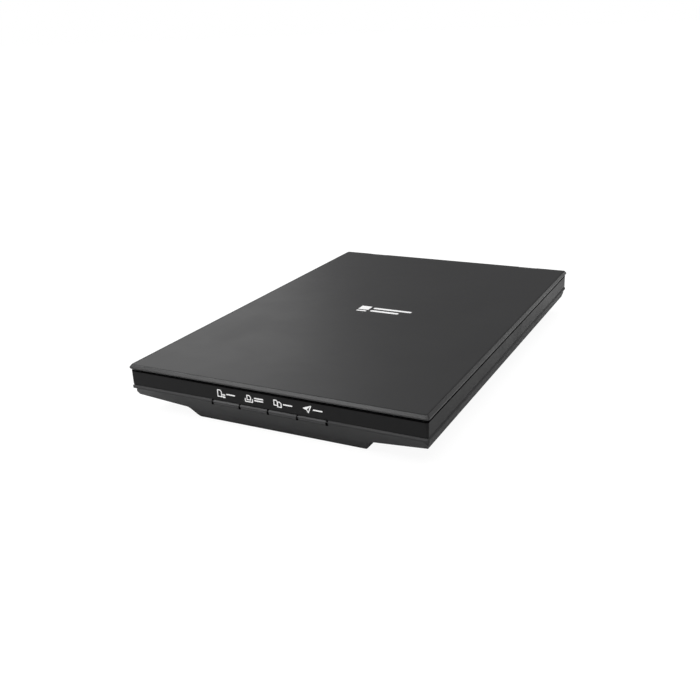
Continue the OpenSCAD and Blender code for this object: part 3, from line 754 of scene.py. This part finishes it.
@dataclass
class KeySlitShade:
    """Painted shade: dark inlays that line the narrow slits beside the keys, in place of the shade inside
    them.
    """

    width: float = 1.5 * MM
    proud: float = 0.05 * MM
    depth: float = 0.5 * MM
    foot: float = 2.15 * MM
    slope_rise: float = 1.0 * MM
    slope_run: float = 0.9 * MM

    def build(self) -> None:
        """Line the slit at each end of the row and between neighbours with painted shade."""
        boxes = [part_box(f"key_{glyph.value}") for glyph in Glyph]
        middles = [boxes[0][0].x]
        middles += [(left[1].x + right[0].x) / 2 for left, right in zip(boxes, boxes[1:])]
        middles.append(boxes[-1][1].x)
        low, high = boxes[0]
        face, shoulder = low.y - self.proud, high.z - self.slope_rise
        profile = [(face, low.z + self.foot), (face, shoulder), (face + self.slope_run, high.z),
                   (face + self.slope_run + self.depth, high.z),
                   (face + self.depth, shoulder), (face + self.depth, low.z + self.foot)]
        mesh = bmesh.new()
        for middle in middles:
            add_solid(mesh, [[mesh.verts.new((middle + side * self.width / 2, y, z)) for y, z in profile]
                             for side in (-1, 1)])
        # Painted shade: these near-black slabs stand in for the shade inside each slit.
        make_piece("key_slit_shade", mesh, SHADE_BLACK, "base")


@dataclass
class LidGapShade:
    """Painted shade: a thin black ring round the top of the band, in place of the shade in the gap under the
    lid.
    """

    depth: float = 0.9 * MM
    below_deck: float = 0.02 * MM
    proud: float = 0.04 * MM
    thickness: float = 0.4 * MM
    corner: float = 2.0 * MM

    def build(self) -> None:
        """Make one thin ring of painted shade round the band."""
        low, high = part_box("upper_housing")
        top = high.z - self.below_deck
        mesh = bmesh.new()
        loops = [[mesh.verts.new((x, y, z)) for x, y in round_outline(low, high, inset, self.corner)]
                 for inset, z in ((-self.proud, top - self.depth), (-self.proud, top),
                                  (self.thickness, top), (self.thickness, top - self.depth))]
        join_rings(mesh, loops + loops[:1])
        # Painted shade: the black ring stands in for the shade under the lid's edge.
        make_piece("lid_gap_shade", mesh, SHADE_BLACK, "base")


@dataclass
class LidFoam:
    """The foam slab behind the white sheet, flat on both faces with soft, pulled-in sides."""

    corner: float = 3.0 * MM
    side_steps: int = 8
    pull_in: float = 0.6 * MM
    soft_edge: float = 0.5 * MM
    soft_steepness: float = 4.0
    fill: float = 0.9

    def build(self) -> None:
        """Make the slab in place of the plain one."""
        low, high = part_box("foam_pad")
        mesh = bmesh.new()
        rings = []
        for step in range(self.side_steps + 1):
            level = step / self.side_steps
            waist = self.pull_in * math.sin(math.pi * level)
            nearness = 1 - self.soft_steepness * (1 - abs(2 * level - 1))
            edge = self.soft_edge * max(0.0, nearness)
            rings.append([mesh.verts.new((x, y, low.z + (high.z - low.z) * level))
                          for x, y in round_outline(low, high, waist + edge, self.corner)])
        add_solid(mesh, rings)
        piece = make_piece("lid_foam", mesh, FOAM_WHITE, "lid")
        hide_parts("foam_pad")


class Glyph(Enum):
    """The plain pictograms above the keys."""

    PAGE = 1
    TRAY = 2
    PAIR = 3
    ARROW = 4


@dataclass
class BandPrints:
    """The white pictograms on the front band, one above each key."""

    height: float = 5.2 * MM
    stroke: float = 0.72 * MM
    spread: float = 1.3 * MM
    glyph_shift: float = -3.4 * MM
    rule_start: float = 1.6 * MM
    rule_end: float = 8.4 * MM
    rule_width: float = 1.0 * MM
    rule_apart: float = 0.9 * MM
    leaf: float = 2.4
    fold: float = 0.35

    def build(self) -> None:
        """Print a pictogram and its rule above each key."""
        low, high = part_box("upper_housing")
        middle = (low.z + high.z) / 2
        ink = Ink(Vector((0, low.y, middle)), Vector((1, 0, 0)), Vector((0, 0, 1)))
        for glyph in Glyph:
            key_low, key_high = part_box(f"key_{glyph.value}")
            centre = (key_low.x + key_high.x) / 2
            self.draw(ink, glyph, centre + self.glyph_shift)
            self.rules(ink, glyph, centre)
        ink.piece("band_prints", PRINT_WHITE, "base", node_slot("upper_housing"))

    def rules(self, ink: Ink, glyph: Glyph, centre: float) -> None:
        """Draw one rule beside a glyph, or two beside the tray.

        Args:
            ink: The print that they are added to.
            glyph: The glyph that they stand beside.
            centre: Middle of the key along X.
        """
        heights = (self.rule_apart, -self.rule_apart) if glyph is Glyph.TRAY else (0.0,)
        for height in heights:
            ink.bar((centre + self.rule_start, height), (centre + self.rule_end, height),
                    self.rule_width)

    def draw(self, ink: Ink, glyph: Glyph, x: float) -> None:
        """Draw one pictogram, with the spread as its unit.

        Args:
            ink: The print that it is added to.
            glyph: The pictogram.
            x: Its middle along X.
        """
        half, unit = self.height / 2, self.spread
        leaf = self.leaf * unit
        if glyph is Glyph.PAGE:
            self.sheet(ink, x - unit, 0.0, 2.6 * unit, self.height)
            for height in (-half, -half / 3):
                ink.bar((x + 1.1 * unit, height), (x + leaf, height), self.stroke * 1.5)
        elif glyph is Glyph.TRAY:
            lip = -0.3 * unit
            self.sheet(ink, x, 0.5 * unit, leaf, half * 1.3)
            ink.path([(x - leaf, lip), (x - leaf, -half), (x + leaf, -half), (x + leaf, lip)], self.stroke)
        elif glyph is Glyph.PAIR:
            for side in (-1, 1):
                self.sheet(ink, x + side * 1.1 * unit, -side * 0.4 * unit, leaf, half * 1.5)
        else:
            tip = (x + 2.3 * unit, half)
            tail = (x - leaf, 0.2 * unit)
            heart = (x - 0.4 * unit, -0.4 * unit)
            ink.shape([tail, heart, tip])
            ink.path([tip, tail, heart, (x + 0.6 * unit, -half)], self.stroke, closed=True)

    def sheet(self, ink: Ink, x: float, z: float, width: float, height: float) -> None:
        """Draw a page with a folded corner.

        Args:
            ink: The print that it is added to.
            x: Centre across.
            z: Centre up.
            width: Width of the page.
            height: Height of the page.
        """
        left, right, top, foot = x - width / 2, x + width / 2, z + height / 2, z - height / 2
        fold = width * self.fold
        ink.path([(left, foot), (left, top), (right - fold, top), (right, top - fold), (right, foot)],
                 self.stroke, closed=True)


@dataclass
class DeckPrints:
    """The corner arrow and the sheet size ticks round the glass."""

    edge: float = 3.2 * MM
    arrow: float = 3.0 * MM
    tick: float = 1.6 * MM
    stroke: float = 0.35 * MM
    sheet_lengths: tuple[float, ...] = (148 * MM, 210 * MM, 254 * MM, 279.4 * MM, 297 * MM)
    sheet_widths: tuple[float, ...] = (105 * MM, 148 * MM, 182 * MM, 210 * MM, 215.9 * MM)

    def build(self) -> None:
        """Print the arrow and the ticks on the deck."""
        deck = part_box("upper_housing")[1].z
        low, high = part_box("white_sheet")
        ink = Ink(Vector((0, 0, deck)), Vector((1, 0, 0)), Vector((0, 1, 0)))
        right, front = high.x + self.edge, low.y - self.edge
        ink.shape([(right, front), (right, front - self.arrow), (right + self.arrow, front)])
        for length in self.sheet_lengths:
            ink.bar((right, low.y + length), (right + self.tick, low.y + length), self.stroke)
        for width in self.sheet_widths:
            ink.bar((high.x - width, front), (high.x - width, front - self.tick), self.stroke)
        ink.piece("deck_prints", PRINT_WHITE, "base", node_slot("upper_housing"))


# ---------------------------------------------------------------- inside

@dataclass
class SensorSprings:
    """Coil springs under the sensor bar, in place of the plain tubes."""

    turns: float = 3.5
    wire: float = 0.16 * MM
    steps_per_turn: int = 16
    sides: int = 6
    seat_gap: float = 8 * MM

    def build(self) -> None:
        """Wind one spring on each seat."""
        low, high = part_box("cis_springs")
        centres = self.group([v.co.x for v in frame["nodes"]["cis_springs"].data.vertices])
        LOG.info("springs at %s mm", [round(centre / MM, 1) for centre in centres])
        mesh = bmesh.new()
        y = (low.y + high.y) / 2
        radius = (high.y - low.y) / 2 - self.wire
        for x in centres:
            self.coil(mesh, Vector((x, y, low.z + self.wire)), radius, high.z - low.z - 2 * self.wire)
        piece = make_piece("sensor_springs", mesh, ROD_STEEL, "carriage", True)
        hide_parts("cis_springs")

    def group(self, values: list[float]) -> list[float]:
        """Middles of the clusters that values fall into.

        Args:
            values: Positions along X of every vertex.

        Returns:
            The middle of each cluster.
        """
        ordered = sorted(values)
        clusters = [[ordered[0]]]
        for value in ordered[1:]:
            if value - clusters[-1][-1] > self.seat_gap:
                clusters.append([])
            clusters[-1].append(value)
        return [(cluster[0] + cluster[-1]) / 2 for cluster in clusters]

    def coil(self, mesh: bmesh.types.BMesh, foot: Vector, radius: float, rise: float) -> None:
        """Add one coil of wire.

        Args:
            mesh: The geometry that it is added to.
            foot: Centre of its lowest turn.
            radius: Radius of the coil's centre line.
            rise: Height from the first turn to the last.
        """
        count = int(self.turns * self.steps_per_turn)
        rings = []
        for step in range(count + 1):
            angle = math.tau * step / self.steps_per_turn
            out = Vector((math.cos(angle), math.sin(angle), 0))
            middle = foot + out * radius + Vector((0, 0, rise * step / count))
            rings.append([mesh.verts.new(middle + self.wire * (
                out * math.cos(math.tau * side / self.sides)
                + Vector((0, 0, 1)) * math.sin(math.tau * side / self.sides)))
                for side in range(self.sides)])
        add_solid(mesh, rings)


@dataclass
class BoardDetail:
    """Small parts on the main board: resistors with soldered ends, and the chip's legs."""

    part: Vector = field(default_factory=lambda: Vector((1.6, 0.8, 0.5)) * MM)
    pad: Vector = field(default_factory=lambda: Vector((0.45, 0.8, 0.35)) * MM)
    leg: Vector = field(default_factory=lambda: Vector((1.1, 0.35, 0.25)) * MM)
    part_chamfer: float = 0.08 * MM
    pad_chamfer: float = 0.05 * MM
    margin: float = 4.0 * MM
    columns: int = 2
    column_pitch: float = 3.4 * MM
    stagger: float = 0.7 * MM
    stagger_rows: int = 3
    front_rows: int = 6
    front_pitch: float = 2.6 * MM
    back_start: float = 79.2 * MM
    back_rows: int = 8
    back_pitch: float = 2.2 * MM
    chip_x: float = 6.5 * MM
    chip_y: float = 44.0 * MM
    chip_width: float = 14.0 * MM
    chip_legs: int = 11
    leg_start: float = 1.2 * MM
    leg_pitch: float = 1.15 * MM

    def build(self) -> None:
        """Place the parts in rows on the board's free ground."""
        low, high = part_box("main_board")
        origin = Vector((low.x, low.y, high.z))
        parts, solder = bmesh.new(), bmesh.new()
        self.resistors(parts, solder, origin)
        self.legs(solder, origin)
        make_piece("board_resistors", parts, CHIP_EPOXY, "base")
        make_piece("board_solder", solder, SOLDER_TIN, "base")

    def resistors(self, parts: bmesh.types.BMesh, solder: bmesh.types.BMesh, origin: Vector) -> None:
        """Add the rows of chip resistors at the board's front and back.

        Args:
            parts: The geometry that their bodies are added to.
            solder: The geometry that their soldered ends are added to.
            origin: The front left corner of the board's top.
        """
        rows = [self.margin + self.front_pitch * row for row in range(self.front_rows)]
        rows += [self.back_start + self.back_pitch * row for row in range(self.back_rows)]
        for index, y in enumerate(rows):
            for column in range(self.columns):
                x = self.margin + self.column_pitch * column + index % self.stagger_rows * self.stagger
                corner = origin + Vector((x, y, 0))
                add_box(parts, corner, corner + self.part, self.part_chamfer)
                for end in (-self.pad.x, self.part.x):
                    start = corner + Vector((end, 0, 0))
                    add_box(solder, start, start + self.pad, self.pad_chamfer)

    def legs(self, solder: bmesh.types.BMesh, origin: Vector) -> None:
        """Add the two rows of legs beside the chip.

        Args:
            solder: The geometry that they are added to.
            origin: The front left corner of the board's top.
        """
        for index in range(self.chip_legs):
            y = self.chip_y + self.leg_start + self.leg_pitch * index
            for x in (self.chip_x - self.leg.x, self.chip_x + self.chip_width):
                corner = origin + Vector((x, y, 0))
                add_box(solder, corner, corner + self.leg)


@dataclass
class FlatCable:
    """The flexible flat cable, from the floor of the belly to the carriage."""

    width: float = 16 * MM
    half_thickness: float = 0.12 * MM
    loop_steps: int = 24
    fold_y: float = -8 * MM
    loop_y: float = 5 * MM
    loop_low: float = 5.2 * MM
    loop_high: float = 17.4 * MM
    run_step: float = 6 * MM
    fold_steps: int = 8
    fold_lap: float = 1 * MM
    stripes: int = 14
    valley: float = 0.7
    bend_start: float = 8 * MM
    bend_end: float = 4 * MM
    tab: float = 2 * MM
    socket_inset: float = 1 * MM
    socket_rise: float = 0.8 * MM
    ramp_foot: Point = (1.2 * MM, 2.4 * MM)
    ramp_head: Point = (-1.6 * MM, 1.9 * MM)

    def build(self) -> None:
        """Make the rolling part of the cable, then the run on the floor and the stiffener."""
        clamp_low, clamp_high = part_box("cable_clamp")
        centre_x = (clamp_low.x + clamp_high.x) / 2
        attach_y = (clamp_low.y + clamp_high.y) / 2
        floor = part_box("flat_cable")[0].z + self.half_thickness
        rolling = self.strip("ribbon_rolling", centre_x, self.route(floor, attach_y))
        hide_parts("flat_cable")
        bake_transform(rolling)
        left, right = centre_x - self.width / 2, centre_x + self.width / 2
        self.floor_run(left, right, floor)
        self.stiffener(right, floor)
        LOG.info("flat cable from the board to y %.0f mm", attach_y / MM)

    def route(self, floor: float, attach_y: float) -> list[Point]:
        """Points [y, z] of the centre line from the fold to the carriage.

        Args:
            floor: Height of the run on the floor.
            attach_y: Where it meets the carriage.

        Returns:
            The points in order.
        """
        fold_r = (self.loop_low - floor) / 2
        loop_r = (self.loop_high - self.loop_low) / 2
        points = [(self.fold_y + self.fold_lap, floor)]
        for step in range(self.fold_steps + 1):
            angle = math.radians(270 - 180 * step / self.fold_steps)
            points.append((self.fold_y + fold_r * math.cos(angle),
                           floor + fold_r + fold_r * math.sin(angle)))
        for step in range(self.loop_steps + 1):
            angle = math.radians(-90 + 180 * step / self.loop_steps)
            points.append((self.loop_y + loop_r * math.cos(angle),
                           self.loop_low + loop_r + loop_r * math.sin(angle)))
        y = self.loop_y - self.run_step
        while y > attach_y:
            points.append((y, self.loop_high))
            y -= self.run_step
        points.append((attach_y, self.loop_high))
        return points

    def strip(self, name: str, centre_x: float, route: list[Point]) -> bpy.types.Object:
        """Sweep a thin ribbed strip along a route in the plane of Y and Z.

        Args:
            name: The strip's name.
            centre_x: Middle of the strip along X.
            route: Points [y, z] of its centre line.

        Returns:
            The strip, not yet on a body.
        """
        mesh = bmesh.new()
        columns = self.stripes * 2
        sheets = [[], []]
        for rows, side in zip(sheets, (1, -1)):
            for index, (y, z) in enumerate(route):
                before, after = route[max(0, index - 1)], route[min(len(route) - 1, index + 1)]
                along = Vector((0, after[0] - before[0], after[1] - before[1])).normalized()
                out = Vector((1, 0, 0)).cross(along) * side * self.half_thickness
                rows.append([mesh.verts.new(
                    Vector((centre_x + self.width * (column / columns - 0.5), y, z))
                    + out * (1.0 if column % 2 else self.valley)) for column in range(columns + 1)])
            join_rings(mesh, rows, closed=False)
        for edge in (0, columns):
            join_rings(mesh, [[row[edge] for row in rows] for rows in sheets], closed=False)
        for end in (0, -1):
            join_rings(mesh, [rows[end] for rows in sheets], closed=False)
        piece = new_object(name, mesh, RIBBON_WHITE)
        return piece

    def floor_run(self, left: float, right: float, floor: float) -> None:
        """Lay the fixed run along the floor and folded across towards its socket.

        Args:
            left: Left edge of the run.
            right: Right edge of the run.
            floor: Height of the run.
        """
        near, far = self.socket_span()
        outline = [(right + self.tab, near), (right + self.tab, far), (right, far), (left, near),
                   (left, self.fold_y), (right, self.fold_y), (right, near)]
        mesh = bmesh.new()
        add_solid(mesh, [[mesh.verts.new((x, y, floor + side * self.half_thickness)) for x, y in outline]
                         for side in (-1, 1)])
        make_piece("ribbon_floor", mesh, RIBBON_WHITE, "base")

    def stiffener(self, right: float, floor: float) -> None:
        """Lead the blue stiffener from the floor up into its socket.

        Args:
            right: Right edge of the run on the floor.
            floor: Height of the run.
        """
        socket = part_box("cable_socket")[0]
        entry = socket.z + self.socket_rise
        profile = [(right + reach, floor) for reach in self.ramp_foot]
        profile += [(socket.x + reach, entry) for reach in self.ramp_head]
        outline = [(x, z - self.half_thickness) for x, z in profile]
        outline += [(x, z + self.half_thickness) for x, z in reversed(profile)]
        mesh = bmesh.new()
        near, far = [[mesh.verts.new((x, y, z)) for x, z in outline] for y in self.socket_span()]
        join_rings(mesh, [near, far])
        last = len(outline) - 1
        for ring in (near, far):
            for index in range(len(profile) - 1):
                mesh.faces.new((ring[index], ring[index + 1], ring[last - index - 1], ring[last - index]))
        make_piece("ribbon_stiffener", mesh, RIBBON_BLUE, "base")

    def socket_span(self) -> Point:
        """The near and far ends of the socket's mouth along Y."""
        low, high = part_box("cable_socket")
        return low.y + self.socket_inset, high.y - self.socket_inset


# ---------------------------------------------------------------- studio

@dataclass(frozen=True)
class Panel:
    """One square light panel, aimed at the middle of the floor."""

    name: str
    place: Place
    size: float
    power: float


@dataclass
class Studio:
    """A pale floor, soft lights and the camera."""

    floor_radius: float = 60.0
    floor_segments: int = 96
    floor_rough: float = 0.9
    floor_shine: float = 0.1
    floor_gap: float = 0.05 * MM
    azimuth_deg: float = 26.58
    elevation_deg: float = 19.78
    distance: float = 756.19 * MM
    lens_mm: float = 43.25
    sensor_mm: float = 36.0
    clip_start: float = 0.01
    clip_end: float = 200.0
    aim_x: float = -3.37 * MM
    aim_y: float = -1.74 * MM
    aim_z: float = 22.82 * MM
    roll_deg: float = -2.1
    shift_x: float = -0.0339
    shift_y: float = -0.0262
    surround: float = 0.16
    seen_surround: float = 1.0
    overhead: float = 2.9
    overhead_spread_deg: float = 70.0
    panels: tuple[Panel, ...] = (Panel("left_panel", (-1.9, 1.15, 0.85), size=2.2, power=12.0),
                                 Panel("front_panel", (-0.65, -0.91, 0.98), size=0.55, power=11.0),
                                 Panel("rim_panel", (1.0, 1.9, 0.6), size=0.5, power=3.0))
    floor_white: float = 0.74
    floor_lift: float = 0.85
    floor_glow: float = 1.1

    def build(self) -> None:
        """Make everything that isn't the scanner."""
        self.camera()
        self.floor()
        self.world()
        self.sky()
        for panel in self.panels:
            self.light(panel)
        bpy.context.scene.view_settings.view_transform = "Standard"

    def sky(self) -> None:
        """One even light from straight above, with soft edges."""
        data = bpy.data.lights.new("overhead", "SUN")
        data.energy = self.overhead
        data.angle = math.radians(self.overhead_spread_deg)
        bpy.context.scene.collection.objects.link(bpy.data.objects.new("overhead", data))

    def camera(self) -> None:
        """Place the camera to the right of the front, a little above."""
        azimuth, elevation = math.radians(self.azimuth_deg), math.radians(self.elevation_deg)
        back = Vector((math.sin(azimuth) * math.cos(elevation),
                       -math.cos(azimuth) * math.cos(elevation), math.sin(elevation)))
        level = (-back).cross(Vector((0, 0, 1))).normalized()
        rise = level.cross(-back)
        roll = math.radians(self.roll_deg)
        right = level * math.cos(roll) + rise * math.sin(roll)
        up = rise * math.cos(roll) - level * math.sin(roll)
        data = bpy.data.cameras.new("camera")
        data.sensor_width = self.sensor_mm
        data.lens = self.lens_mm
        data.shift_x, data.shift_y = self.shift_x, self.shift_y
        data.clip_start, data.clip_end = self.clip_start, self.clip_end
        camera = bpy.data.objects.new("camera", data)
        bpy.context.scene.collection.objects.link(camera)
        turn = Matrix((right, up, back)).transposed().to_4x4()
        aim = Vector((self.aim_x, self.aim_y, self.aim_z))
        camera.matrix_world = Matrix.Translation(aim + back * self.distance) @ turn
        bpy.context.scene.camera = camera

    def floor(self) -> None:
        """A wide pale floor at the feet."""
        mesh = bmesh.new()
        bmesh.ops.create_circle(mesh, cap_ends=True, segments=self.floor_segments,
                                radius=self.floor_radius)
        data = bpy.data.meshes.new("floor")
        mesh.to_mesh(data)
        mesh.free()
        floor = bpy.data.objects.new("floor", data)
        floor.location.z = CAD_BOX[0].z - self.floor_gap
        bpy.context.scene.collection.objects.link(floor)
        material = bpy.data.materials.new("pale floor")
        material.use_nodes = True
        shader = material.node_tree.nodes["Principled BSDF"]
        shader.inputs["Base Color"].default_value = (*(self.floor_white,) * 3, 1.0)
        shader.inputs["Roughness"].default_value = self.floor_rough
        shader.inputs["Specular IOR Level"].default_value = self.floor_shine
        self.lift_shadows(material.node_tree, shader)
        data.materials.append(material)

    def lift_shadows(self, tree: bpy.types.NodeTree, shader: bpy.types.Node) -> None:
        """Soften the floor's shadow where it is seen, and leave the light it throws back.

        Args:
            tree: The floor material's nodes.
            shader: Its shader.
        """
        paths = tree.nodes.new("ShaderNodeLightPath")
        amount = tree.nodes.new("ShaderNodeMath")
        amount.operation = "MULTIPLY"
        amount.inputs[1].default_value = self.floor_lift
        glow = tree.nodes.new("ShaderNodeEmission")
        glow.inputs["Strength"].default_value = self.floor_glow
        blend = tree.nodes.new("ShaderNodeMixShader")
        output = tree.nodes["Material Output"]
        tree.links.new(paths.outputs["Is Camera Ray"], amount.inputs[0])
        tree.links.new(amount.outputs[0], blend.inputs["Fac"])
        tree.links.new(shader.outputs["BSDF"], blend.inputs[1])
        tree.links.new(glow.outputs["Emission"], blend.inputs[2])
        tree.links.new(blend.outputs["Shader"], output.inputs["Surface"])

    def world(self) -> None:
        """A white surround that lights the scanner less than it shows."""
        world = bpy.data.worlds.new("surround")
        world.use_nodes = True
        tree = world.node_tree
        back = tree.nodes["Background"]
        back.inputs["Color"].default_value = (1.0, 1.0, 1.0, 1.0)
        paths = tree.nodes.new("ShaderNodeLightPath")
        level = tree.nodes.new("ShaderNodeMapRange")
        level.inputs["To Min"].default_value = self.surround
        level.inputs["To Max"].default_value = self.seen_surround
        tree.links.new(paths.outputs["Is Camera Ray"], level.inputs["Value"])
        tree.links.new(level.outputs["Result"], back.inputs["Strength"])
        bpy.context.scene.world = world

    def light(self, panel: Panel) -> None:
        """Hang one panel in its place and aim it.

        Args:
            panel: The panel.
        """
        data = bpy.data.lights.new(panel.name, "AREA")
        data.shape = "SQUARE"
        data.size = panel.size
        data.energy = panel.power
        lamp = bpy.data.objects.new(panel.name, data)
        lamp.location = panel.place
        lamp.rotation_euler = (-Vector(panel.place)).to_track_quat("-Z", "Y").to_euler()
        bpy.context.scene.collection.objects.link(lamp)


def main() -> None:
    """Build the studio, then each sub-assembly in order."""
    logging.basicConfig(level=logging.INFO, format="%(name)s %(message)s")
    for part in (Studio(), Casework(), LidGapShade(), KeySlitShade(), LidFoam(), LidEmblem(), BandPrints(),
                 DeckPrints(), SensorSprings(), BoardDetail(), FlatCable()):
        part.build()
        LOG.info("built %s", type(part).__name__)


if __name__ == "__main__":
    main()
